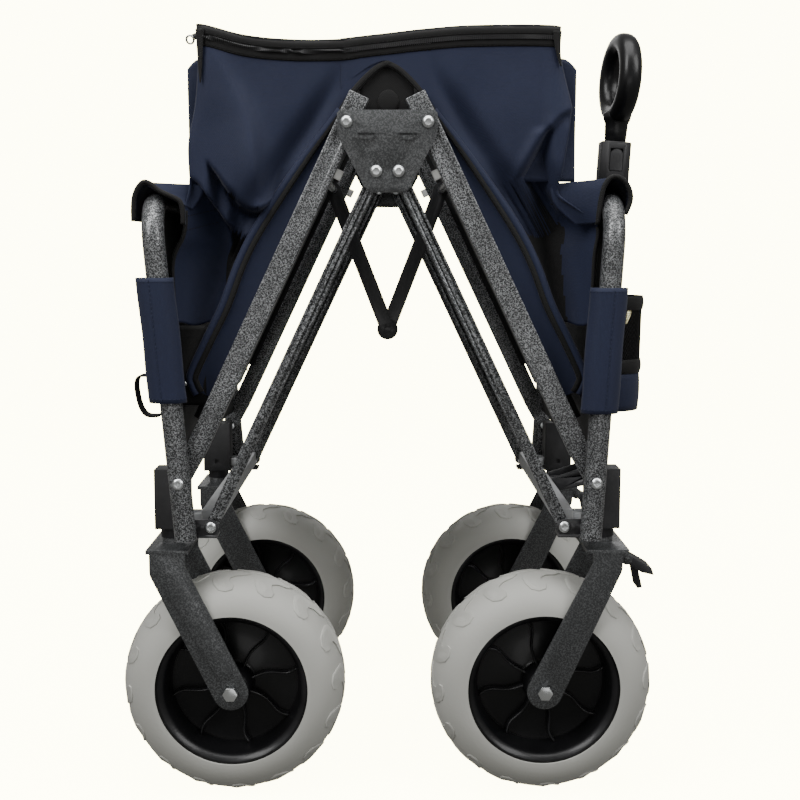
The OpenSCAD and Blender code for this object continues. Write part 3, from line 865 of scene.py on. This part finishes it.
def cloth(name, size, points, slot, body=None, thick=0.0012, lined=None, out=None, **loops):
    # a sheet on a grid of points, or of places worked out from the shares along and across
    rows, columns = size
    if callable(points):
        points = [points(i / (rows - 1), j / (columns - 1)) for i in range(rows) for j in range(columns)]
    piece = newPiece(name, points, grid(rows, columns, **loops), slot, body)
    thicken(piece, thick, lined, out)
    tidyMesh(piece, merge=clothMerge)
    return piece


def panelLow(x):
    # foot of the loose fabric: along the piping, then a slightly wavy free hem
    foot = lineAt(pipingLine, x) + 0.0008
    return max(foot, 0.488 - 0.002 * math.sin(x * 200)) if x > 0.1 else foot


def sideHalf(end, side, s):
    verts = []
    for i in range(s["columns"] + 1):
        share = i / s["columns"]
        for j in range(s["rows"] + 1):
            v = j / s["rows"]
            x = -s["past"] + (0.2 + s["past"]) * share
            # x and z depend on each other, so both are brought in by half steps
            for settle in range(16):
                low = panelLow(x)
                z = low + (min(lineAt(topLine[end], min(x, 0.186)), 0.79) - s["foot"] - low) * v
                x = (x - s["past"] + (edgeAt(end, z) + s["past"]) * share) / 2
            verts.append(outPoint(x, z, end, side))
    faces = grid(s["columns"] + 1, s["rows"] + 1)
    piece = newPiece(f"{end}_{side}_side_fabric", verts, faces, "navy_fabric")
    # the second, black slot lines the inside and also paints shade on the outer face deep in the recess below
    # the fold
    piece.data.materials.append(looks["black_fabric"])
    # faces below the lip and tongue, far enough in from the free edge and off the piping, take the black slot:
    # painted shade on the navy fabric there
    for polygon in piece.data.polygons:
        x, z = abs(polygon.center.x), polygon.center.z
        if sideX(end, polygon.center.x) < 0.05 or offLine(foldLines[end]["lip"], x, z) > -0.004:
            continue
        if end == "rear" and offLine(foldLines[end]["tongue"], x, z) > -0.002:
            continue
        # distance in from the free edge where the painted shade starts; at the front it reaches nearer the edge
        # lower down
        shade = 0.050 if end == "rear" else 0.030 - 0.10 * max(0, 0.560 - z)
        if edgeAt(end, z) - x > shade and offLine(pipingLine, x, z) > 0.004:
            polygon.material_index = 1
    thicken(piece, s["thick"], "black_fabric", sideOut(side))
    tidyMesh(piece, merge=clothMerge)
    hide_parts(end + "_side_panels")
    setBlend(piece, end)
    edge = [outPoint(edgeAt(end, z) - 0.0006, z, end, side, 0.001)
            for z in [0.488 + ((0.602 if end == "rear" else 0.586) - 0.488) * k / 30 for k in range(31)]]
    setBlend(tubeAlong(f"{end}_{side}_edge_binding", edge, 0.0021, "black_fabric", sides=8), end)
    for index, start in enumerate((0.596, 0.582) if end == "rear" else (0.600, 0.588)):
        line = []
        for k in range(16):
            x = edgeAt(end, start) - 0.003 - 0.026 * k / 15
            line.append(outPoint(x, start + 0.30 * (edgeAt(end, start) - x), end, side, 0.0010))
        setBlend(stitched(f"{end}_{side}_corner_stitch_{index}", line), end)


def bandPoint(x, drop, step, end, side):
    # a point below the top edge that keeps the fabric's depth at the foot of the band
    top = lineAt(topLine[end], x)
    swell = foldDepth(x, top - sideSet["foot"], end) - foldDepth(x, top - drop, end)
    return outPoint(x, top - drop, end, side, step + swell)


def bandShare(end, share):
    # x at a share of the top edge, from behind the middle to the corner
    start = -sideSet["past"]
    return start + (edgeAt(end, sideSet["corner"]) + 0.001 - start) * share


def bandStrip(name, end, side, offsets, thick):
    # a strip that follows the top edge: offsets are heights below it, with an outward step
    points = [bandPoint(bandShare(end, i / 80), drop, step, end, side) for i in range(81)
              for drop, step in offsets]
    setBlend(cloth(name, (81, len(offsets)), points, "black_fabric", thick=thick), end)


def bindingEdge(name, end, side):
    points = []
    for i in range(91):
        x = bandShare(end, i / 90)
        points.append(outPoint(x, lineAt(topLine[end], x) + 0.0002, end, side))
    setBlend(tubeAlong(name, points, 0.0014, "black_fabric", sides=8), end)


def bandRow(name, end, side, drop, step, short, item="stitch", spacing=stitchPitch, slot="black_fabric"):
    # stitches or zip teeth along the band, ending short of the corner
    start = 0.004 - sideSet["past"]
    length = edgeAt(end, sideSet["corner"]) - short + sideSet["past"]
    points = [bandPoint(start + length * i / 119, drop, step, end, side) for i in range(120)]
    setBlend(row(name, points, item, spacing, slot), end)


def overEdge(path, i, inward):
    # square to the path, away from the strip
    ahead = (path[min(i + 1, len(path) - 1)] - path[max(i - 1, 0)]).normalized()
    over = Vector((ahead.y, -ahead.x))
    return -over if over.dot(inward) > 0 else over


stripSet = {"count": 90, "end": [(0.1945, 0.428), (0.190, 0.419)], "rollFrom": 22, "rollRadius": 0.0044,
            "tape": [(0.0012, -0.0012), (0.0016, 0.0006), (0.0006, 0.0022), (-0.0020, 0.0024),
                     (-0.0036, 0.0020), (-0.0040, 0.0008)]}


def armStrip(end, side, s):
    # the strip sewn to the arm: its bound outer edge, a fabric face inwards, black inside
    tag, body = f"{end}_{side}_", end + "_arms"
    path = softLine(pipingLine[3:] + s["end"], s["count"])
    inward = Vector((-math.cos(restLean), -math.sin(restLean)))
    origin = Vector((pivotX, pivotZ))

    def place(p, lift):
        return (sideX(end, p.x), sideSign(side) * (sideSet["y"] + lift), p.y)

    points = []
    for p in path:
        clear = (p - origin).dot(-inward)
        reach = max(0.001, clear - 0.006)
        for j in range(7):
            t = j / 6
            q = p + inward * reach * t
            dent = 0.0016 * math.sin(math.pi * t) * ease01(clear / 0.02)
            q.x = max(q.x, 0.008)
            points.append(place(q, 0.0012 - dent - 0.001 * t))
    piece = cloth(tag + "arm_strip", (len(path), 7), points, "navy_fabric", body, 0.0011, "black_fabric",
                  sideOut(side))
    # folded tape round the edge, flat against the panel
    tape = [place(p + overEdge(path, i, inward) * shift, 0.0008 + height)
            for i, p in enumerate(path) for shift, height in s["tape"]]
    cloth(tag + "strip_binding", (len(path), 6), tape, "black_fabric", body, 0.0008)
    roll = [place(path[i] + overEdge(path, i, inward) * (0.0042 * ease01((i - s["rollFrom"]) / 20)), -0.0008)
            for i in range(s["rollFrom"], len(path))]
    tubeAlong(tag + "strip_roll", roll, s["rollRadius"], "navy_fabric", body, sides=12)
    stitched(tag + "strip_stitch", [place(p + inward * 0.0030, 0.0034) for p in path], body)


# reach outwards, lower and upper height of the fold behind each panel
pleatSet = {"rear": (0.1985, 0.634, 0.752), "front": (0.1885, 0.631, 0.752)}


def backPleat(end, side):
    # the fold of fabric that stands behind the side panel at the end frame
    outer, low, high = pleatSet[end]

    def place(t, v):
        drop = 0.011 * max(0, (t - 0.72) / 0.28) ** 2
        z = low + (high - drop - low) * v
        y = sideSet["y"] - 0.0085 + 0.0015 * math.sin(z * 50 + t * 3) - 0.0015 * t
        return (sideX(end, outer - 0.055 * (1 - t)), sideSign(side) * y, z)

    piece = cloth(f"{end}_{side}_back_pleat", (21, 31), place, "navy_fabric", None, 0.0022, "black_fabric",
                  sideOut(side))
    setBlend(piece, end)


archSet = {"low": 0.655, "high": 0.7495, "foot": 0.036, "taper": 0.012, "y": 0.1902, "tab": 0.0105,
           "tabY": 0.1914, "tabHeight": 0.7085}


def archLining(side, s):
    # black inner flap that closes the arch above the hub plates, with the end of a pull tab
    sign = sideSign(side)

    def place(share, v):
        t = -1 + 2 * share
        z = s["low"] + (s["high"] - s["low"]) * v - s["taper"] * t * t * v
        y = s["y"] - 0.0003 * (1 - t * t) * (1 - v) + 0.0002 * math.sin(t * 9 + v * 4)
        return ((s["foot"] - s["taper"] * v) * t, sign * y, z)

    piece = cloth(f"{side}_arch_lining", (25, 17), place, "black_fabric", "hub")
    knob = []
    for i in range(13):
        a = math.pi * i / 12
        r = s["tab"] * math.sin(a)
        h = 0.0060 * math.cos(a)
        for k in range(20):
            b = 2 * math.pi * k / 20
            knob.append((0.001 + r * math.cos(b), sign * (s["tabY"] + h * 0.30),
                         s["tabHeight"] + r * math.sin(b) * 1.15))
    tidyMesh(newPiece(f"{side}_arch_tab", knob, grid(13, 20, closeColumns=True), "black_fabric", "hub"))


# depth below the top edge and outward step of each band's section
topBand = [(0.0000, 0.0006), (0.0030, 0.0016), (0.0078, 0.0016), (0.0085, 0.0009)]
zipBand = [(0.0075, 0.0006), (0.0105, 0.0009), (0.0165, 0.0009), (0.0195, 0.0006)]
for end in ("rear", "front"):
    for side in ("near", "far"):
        tag = f"{end}_{side}_"
        sideHalf(end, side, sideSet)
        bandStrip(tag + "top_binding", end, side, topBand, 0.0014)
        bandStrip(tag + "zip_tape", end, side, zipBand, 0.0010)
        bindingEdge(tag + "binding_edge", end, side)
        armStrip(end, side, stripSet)
        bandRow(tag + "zip_teeth", end, side, 0.0105, 0.0022, 0.004, "tooth", toothPitch, "black_plastic")
        bandRow(tag + "binding_stitch", end, side, 0.0068, 0.0026, 0.006)
        bandRow(tag + "tape_stitch", end, side, 0.0185, 0.0016, 0.006)
        backPleat(end, side)
for side in ("near", "far"):
    archLining(side, archSet)
print("side fabric sewn")


def zipSlider(side):
    # slider at the rear corner with its ring puller, and the tape's tapered tail
    sign = sideSign(side)
    top = lineAt(topLine["rear"], 0.186)
    y = sign * (sideSet["y"] + 0.004)
    body = tubeAlong(f"{side}_zip_slider", [(-0.180, y, top - 0.0085), (-0.184, y, top - 0.0095),
                                            (-0.188, y, top - 0.0105), (-0.191, y, top - 0.0120)],
                     0.0030, "black_plastic", sides=12, flat=0.7)
    setBlend(body, "rear")
    ring = [(-0.1935 + 0.0036 * math.cos(a), y + sign * 0.002 * math.sin(a),
             top - 0.0140 + 0.0036 * math.sin(a)) for a in [2 * math.pi * k / 20 for k in range(20)]]
    setBlend(tubeAlong(f"{side}_zip_puller", ring, 0.0011, "zinc", closed=True, sides=8), "rear")
    for end, length in (("rear", 0.052), ("front", 0.034)):
        corner = edgeAt(end, sideSet["corner"])
        points = []
        for i in range(25):
            t = i / 24
            half = 0.0038 * (1 - t) ** 0.8 + 0.0003
            z = lineAt(topLine[end], corner) - 0.004 - length * t
            edge = (corner if end == "rear" else edgeAt(end, z)) - 0.0005
            points += [outPoint(edge + w * half - 0.002, z, end, side, 0.0040) for w in (-1, 0, 1)]
        setBlend(cloth(f"{end}_{side}_tape_tail", (25, 3), points, "black_fabric"), end)


for side in ("near", "far"):
    zipSlider(side)

# fabric on the end frames
# lean of each end frame in degrees, and the sleeves' lower and upper heights
endSet = {"rear": {"lean": 5.0, "sleeve": (0.413, 0.536), "shift": 0.0027},
          "front": {"lean": 3.5, "sleeve": (0.402, 0.526), "shift": -0.0015}}
tubeY = 0.225


def endPoint(end, out, y, z):
    # a point on the leaning end frame; out is the distance outwards from its tube line
    x = pivotX + (z - pivotZ) * math.tan(math.radians(endSet[end]["lean"])) + out
    return (sideX(end, x), y, z)


def endPanel(end):
    def place(share, v):
        t = -1 + 2 * share
        sag = 0.007 * (1 - t * t) * math.sin(math.pi * v)
        sag += 0.003 * noise.noise(Vector((t * 4, v * 3, 1.7 if end == "rear" else 5.2)))
        return endPoint(end, -0.004 - sag, t * (0.2125 + 0.0005 * v), 0.352 + (0.606 - 0.352) * v)

    piece = cloth(end + "_end_fabric", (61, 41), place, "navy_fabric", end + "_frame", 0.0012,
                  "black_fabric", (sideX(end, 1), 0, 0))
    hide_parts(end + "_end_panel")


# section of the hem that wraps the top bar, distance outwards from the leg's line and height
hemSection = {
    "rear": [(0.0205, 0.591), (0.0195, 0.603), (0.0175, 0.614), (0.0130, 0.6235), (0.0060, 0.6295),
             (-0.001, 0.6270), (-0.0085, 0.6205), (-0.0210, 0.6145), (-0.0275, 0.610), (-0.0290, 0.600),
             (-0.0280, 0.588)],
    "front": [(0.0118, 0.598), (0.0158, 0.610), (0.0150, 0.620), (0.0100, 0.629), (0.0020, 0.6345),
              (-0.0060, 0.6335), (-0.0115, 0.6245), (-0.0140, 0.608), (-0.0150, 0.588)]}
# outer and inner edge of the corner piece that carries the hem round to the side panel
hemCorner = {"rear": ([(0.240, 0.6290), (0.232, 0.6235), (0.222, 0.618), (0.205, 0.609)],
                      [(0.186, 0.628), (0.184, 0.622), (0.188, 0.613), (0.196, 0.603)]),
             "front": ([(0.2206, 0.6335), (0.2150, 0.6230), (0.2125, 0.606), (0.2110, 0.590)],
                       [(0.166, 0.6290), (0.164, 0.620), (0.170, 0.606), (0.190, 0.588)])}
mouthY = 0.2085


def hemPiece(end):
    # open tunnel over the top bar; its mouth stops where the bar bends down
    name = end + "_frame"
    section = softLine(hemSection[end], 36)
    points = []
    for i in range(71):
        t = -1 + 2 * i / 70
        slack = 0.0009 * math.sin(i * 0.9) + 0.0016 * noise.noise(Vector((t * 5, 2.0, 0)))
        for k, (out, z) in enumerate(section):
            swell = slack * math.sin(math.pi * k / 36)
            points.append(endPoint(end, out + swell * 0.5, mouthY * t, z + swell * 0.4))
    piece = cloth(end + "_hem_wrap", (71, 37), points, "navy_fabric", name, 0.0013)
    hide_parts(end + "_hem")
    outer, inner = (softLine(line, 20) for line in hemCorner[end])
    for side in ("near", "far"):
        sign = sideSign(side)
        tubeAlong(f"{end}_{side}_hem_binding", [endPoint(end, out, sign * mouthY, z) for out, z in section],
                  0.0024, "black_fabric", name, sides=8)
        points = []
        for a, b in zip(outer, inner):
            for j in range(15):
                t = j / 14
                p = a + (b - a) * t
                deep = 0.2065 - 0.0200 * t - 0.006 * math.sin(math.pi * t)
                points.append((sideX(end, p.x), sign * deep, p.y))
        corner = cloth(f"{end}_{side}_hem_corner", (21, 15), points, "navy_fabric", name, 0.0011,
                       "black_fabric", sideOut(side))
    for index, k in enumerate((2, 4)):
        out, z = section[k]
        line = [endPoint(end, out + 0.0011, -0.195 + 0.39 * i / 60, z) for i in range(61)]
        stitched(f"{end}_hem_stitch_{index}", line, name)


def sleeveSection(a, wide, deep):
    out = wide * bent(math.cos(a), 0.62)
    return out, deep * bent(math.sin(a), 0.8) * (1 - 0.35 * abs(out / wide) ** 3)


def sleeve(end, side, s):
    # navy wrap round the leg, drawn flat behind it and stitched
    tag, name = f"{end}_{side}_sleeve_", end + "_frame"
    low, high = s["sleeve"]
    middleY = sideSign(side) * tubeY
    levels = 26
    sides = 36
    points = []
    for i in range(levels + 1):
        v = i / levels
        for k in range(sides):
            a = 2 * math.pi * k / sides
            out, across = sleeveSection(a, 0.0180 + 0.0004 * math.sin(v * 9 + a), 0.0133)
            points.append(endPoint(end, out + s["shift"], middleY + across, low + (high - low) * v))
    piece = cloth(tag + "wrap", (levels + 1, sides), points, "navy_fabric", name, closeColumns=True)
    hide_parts(end + "_sleeves")
    for index, z in enumerate((low + 0.004, high - 0.004)):
        line = []
        for k in range(sides + 1):
            out, across = sleeveSection(2 * math.pi * k / sides, 0.0187, 0.0140)
            line.append(endPoint(end, out + s["shift"], middleY + across, z))
        stitched(f"{tag}stitch_{index}", line, name, "navy_fabric")
    seamY = sideSign(side) * (tubeY + 0.0140)
    seam = [endPoint(end, s["shift"] + 0.0040, seamY, low + 0.003 + (high - low - 0.006) * k / 20)
            for k in range(21)]
    stitched(tag + "seam", seam, name, "navy_fabric")


for end in ("rear", "front"):
    endPanel(end)
    hemPiece(end)
    for side in ("near", "far"):
        sleeve(end, side, endSet[end])


def webbingLoop():
    # closed loop of black tape on the rear frame
    (x0, y0, z0), (x1, y1, z1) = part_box("strap_loop")
    points = []
    steps = 48
    for i in range(steps):
        a = 2 * math.pi * i / steps
        cx = bent(math.cos(a), 0.6) * (x1 - x0) / 2 * 0.93
        cz = bent(math.sin(a), 0.8) * (z1 - z0) / 2 * 0.93
        lean = -0.18 * cz
        for across in (-0.0085, -0.003, 0.003, 0.0085):
            points.append(((x0 + x1) / 2 + cx + lean, (y0 + y1) / 2 + across, (z0 + z1) / 2 + cz))
    piece = cloth("webbing_loop", (steps, 4), points, "black_fabric", "rear_frame", 0.0022, closeRows=True)
    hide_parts("strap_loop")


flapSet = {"inner": 0.184, "low": 0.406, "width": 0.0265, "height": 0.081, "y": 0.1900,
           "rivets": ((0.205, 0.428), (0.198, 0.425))}


def floorFlap(side, s):
    # black flap of the floor cover riveted inside the rear frame
    sign = sideSign(side)

    def place(u, v):
        y = s["y"] + 0.0010 * math.sin(u * 12 * 0.5 + v * 18 * 0.3)
        return (-s["inner"] - s["width"] * u, sign * y, s["low"] + s["height"] * v)

    piece = cloth(f"{side}_floor_flap", (13, 19), place, "black_fabric", "rear_frame")
    for index, (x, z) in enumerate(s["rivets"]):
        tubeAlong(f"{side}_flap_rivet_{index}", [(-x, sign * 0.1905, z), (-x, sign * 0.1925, z)], 0.0020,
                  "zinc", "rear_frame", sides=12)


webbingLoop()
for side in ("near", "far"):
    floorFlap(side, flapSet)
pocketSet = {"low": 0.398, "high": 0.516, "radius": 0.0385, "y": -0.150}


def pocketSection(s, a, v):
    # half-round outline of the cup pocket about its middle; a runs from 0 to pi
    r = s["radius"] * (0.93 + 0.07 * v)
    return (0.2275 + r * math.sin(a) * 0.98 - 0.002, s["y"] + r * math.cos(a))


def pocketBand(name, s, v0, v1, slot, thick, grow):
    def place(u, share):
        a = math.pi * u
        v = v0 + (v1 - v0) * share
        x, y = pocketSection(s, a, v)
        bulge = grow + 0.0012 * math.sin(math.pi * share)
        return (x + bulge * math.sin(a), y + bulge * math.cos(a), s["low"] + (s["high"] - s["low"]) * v)

    return cloth(name, (31, 7), place, slot, "front_frame", thick)


def pocket(s):
    base = pocketBand("cup_pocket_base", s, 0.0, 0.34, "navy_fabric", 0.0012, 0.001)
    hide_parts("cup_pocket")
    for label, low, high in (("mid", 0.33, 0.45), ("top", 0.88, 1.0)):
        band = pocketBand(f"cup_pocket_{label}_band", s, low, high, "black_fabric", 0.0017, 0.0014)
    # floor of the pocket
    verts = [(0.2255, s["y"], s["low"] + 0.001)]
    for i in range(31):
        x, y = pocketSection(s, math.pi * i / 30, 0)
        verts.append((x, y, s["low"] + 0.001))
    faces = [(0, i + 1, i + 2) for i in range(30)]
    thicken(newPiece("cup_pocket_floor", verts, faces, "black_fabric", "front_frame"), 0.0012)
    # diamond net: two families of crossing cords
    parts = []
    strands = 52
    for lean in (-1, 1):
        for k in range(strands):
            start = k / strands
            points = []
            for i in range(14):
                t = i / 13
                u = start + lean * 0.22 * t
                if 0 <= u <= 1:
                    x, y = pocketSection(s, math.pi * u, 0.45 + 0.43 * t)
                    out = 0.0008 + 0.0004 * lean
                    a = math.pi * u
                    points.append((x + out * math.sin(a), y + out * math.cos(a),
                                   s["low"] + (s["high"] - s["low"]) * (0.45 + 0.43 * t)))
            if len(points) > 2:
                parts.append(tubeAlong(f"netCord{lean}{k}", points, 0.00062, "black_fabric", sides=5))
    net = joined("cup_pocket_net", parts)
    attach(net, "front_frame")


pocket(pocketSet)
print("end fabric and pocket sewn")

# black skins of the floor boards


padSet = {"grid": (31, 21), "faces": (0.0113, 0.0176), "start": 0.060, "length": 0.362, "half": 0.187,
          "welt": 0.1865}


def lining(end, s):
    # black skin on the inner face of each floor board, turned with its arms
    sign = sideX(end, 1)
    along = Vector((math.sin(restLean) * -sign, 0, math.cos(restLean)))
    out = Vector((sign * math.cos(restLean), 0, math.sin(restLean)))
    origin = Vector((sign * pivotX, 0, pivotZ))
    rows, columns = s["grid"]
    verts = []
    for face in s["faces"]:
        for i in range(rows):
            reach = s["start"] + s["length"] * i / (rows - 1)
            for j in range(columns):
                share = j / (columns - 1)
                puff = 0.0012 * math.sin(math.pi * share) * math.sin(math.pi * i / (rows - 1))
                n = face + (-puff * 0.3 if face == s["faces"][0] else puff)
                verts.append(origin + along * reach + out * n + Vector((0, s["half"] * (2 * share - 1), 0)))
    count = rows * columns
    faces = grid(rows, columns) + [tuple(v + count for v in f)[::-1] for f in grid(rows, columns)]
    rimLoop = [i * columns for i in range(rows)] + [(rows - 1) * columns + j for j in range(1, columns)]
    rimLoop += [i * columns + columns - 1 for i in range(rows - 2, -1, -1)] + list(range(columns - 2, 0, -1))
    for a, b in zip(rimLoop, rimLoop[1:] + rimLoop[:1]):
        faces.append((a, b, b + count, a + count))
    piece = newPiece(end + "_floor_pad", verts, faces, "black_fabric", end + "_arms")
    tidyMesh(piece)
    piece.data.set_sharp_from_angle(angle=math.radians(45))
    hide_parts(end + "_board")
    edge = []
    for y in (-s["welt"], s["welt"]):
        line = [origin + along * (s["start"] + s["length"] * k / 30) + out * 0.0145 + Vector((0, y, 0))
                for k in range(31)]
        edge.append(tubeAlong("padEdge", line, 0.0022, "black_fabric"))
    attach(joined(end + "_floor_welt", edge), end + "_arms")


for end in ("rear", "front"):
    lining(end, padSet)

# grip


gripSet = {"turn": 0.13, "height": 0.757, "radius": 0.0385, "wide": 0.0125, "deep": 0.0118,
           "neck": [(0.0112, -0.0735), (0.0118, -0.0735), (0.0128, -0.058), (0.0132, -0.050),
                    (0.0150, -0.046), (0.0165, -0.040), (0.0120, -0.036), (0.0, -0.036)]}


def gripPiece(s):
    # rounded loop with a flared neck
    lean = math.radians(endSet["front"]["lean"])
    foot = Vector(joints["handle_swing"]["pos_m"])
    up = Vector((math.sin(lean), 0, math.cos(lean)))
    side = Vector((0, 1, 0))
    out = up.cross(side) * -1
    cos, sin = math.cos(s["turn"]), math.sin(s["turn"])
    out, side = out * cos + side * sin, side * cos - out * sin
    middle = foot + up * (s["height"] - foot.z)
    steps = 72
    sides = 22
    verts = []
    for i in range(steps):
        a = 2 * math.pi * i / steps
        reach = s["radius"] + 0.0005 * math.cos(2 * a)
        radial = up * math.cos(a) + side * math.sin(a)
        for k in range(sides):
            b = 2 * math.pi * k / sides
            wide = s["wide"] * bent(math.cos(b), 0.85)
            deep = s["deep"] * bent(math.sin(b), 0.95)
            verts.append(middle + radial * (reach + deep) + out * wide)
    loop = newPiece("loopBody", verts, grid(steps, sides, closeRows=True, closeColumns=True), "gloss_black")
    tidyMesh(loop)
    verts = []
    for i in range(32):
        a = 2 * math.pi * i / 32
        for r, h in s["neck"]:
            verts.append(middle + up * h + out * (r * math.cos(a)) + side * (r * math.sin(a)))
    neck = newPiece("neckBody", verts, grid(32, len(s["neck"]), closeRows=True), "gloss_black")
    tidyMesh(neck)
    piece = joined("loop_grip", [loop, neck])
    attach(piece, "slide")
    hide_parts("grip")


gripPiece(gripSet)
print("grip moulded")

for helper in items.values():
    bpy.data.objects.remove(helper)


# floor
# look of the floor, and its sweep up behind as (distance back, height) pairs
floorSet = {"look": {"Base Color": (0.93, 0.9, 0.82, 1), "Roughness": 0.9,
                     "Emission Color": (1.0, 0.93, 0.56, 1), "Emission Strength": 14.0},
            "rise": [(-6.0, 0.0), (2.6, 0.0), (3.1, 0.06), (3.5, 0.25), (3.75, 0.6), (3.8, 1.2), (3.8, 5.0)],
            "half": 9}


def paleFloor(s):
    material = bpy.data.materials.new("paleFloor")
    material.use_nodes = True
    shader = material.node_tree.nodes["Principled BSDF"]
    for label, value in s["look"].items():
        shader.inputs[label].default_value = value
    rise = s["rise"]
    verts = [(x, y, z) for y, z in rise for x in (-s["half"], s["half"])]
    floor = meshObject("studioFloor", verts, [(2 * i, 2 * i + 1, 2 * i + 3, 2 * i + 2)
                                              for i in range(len(rise) - 1)])
    shade(floor.data)
    floor.data.materials.append(material)
    floor.visible_glossy = False
    floor.visible_diffuse = False


paleFloor(floorSet)
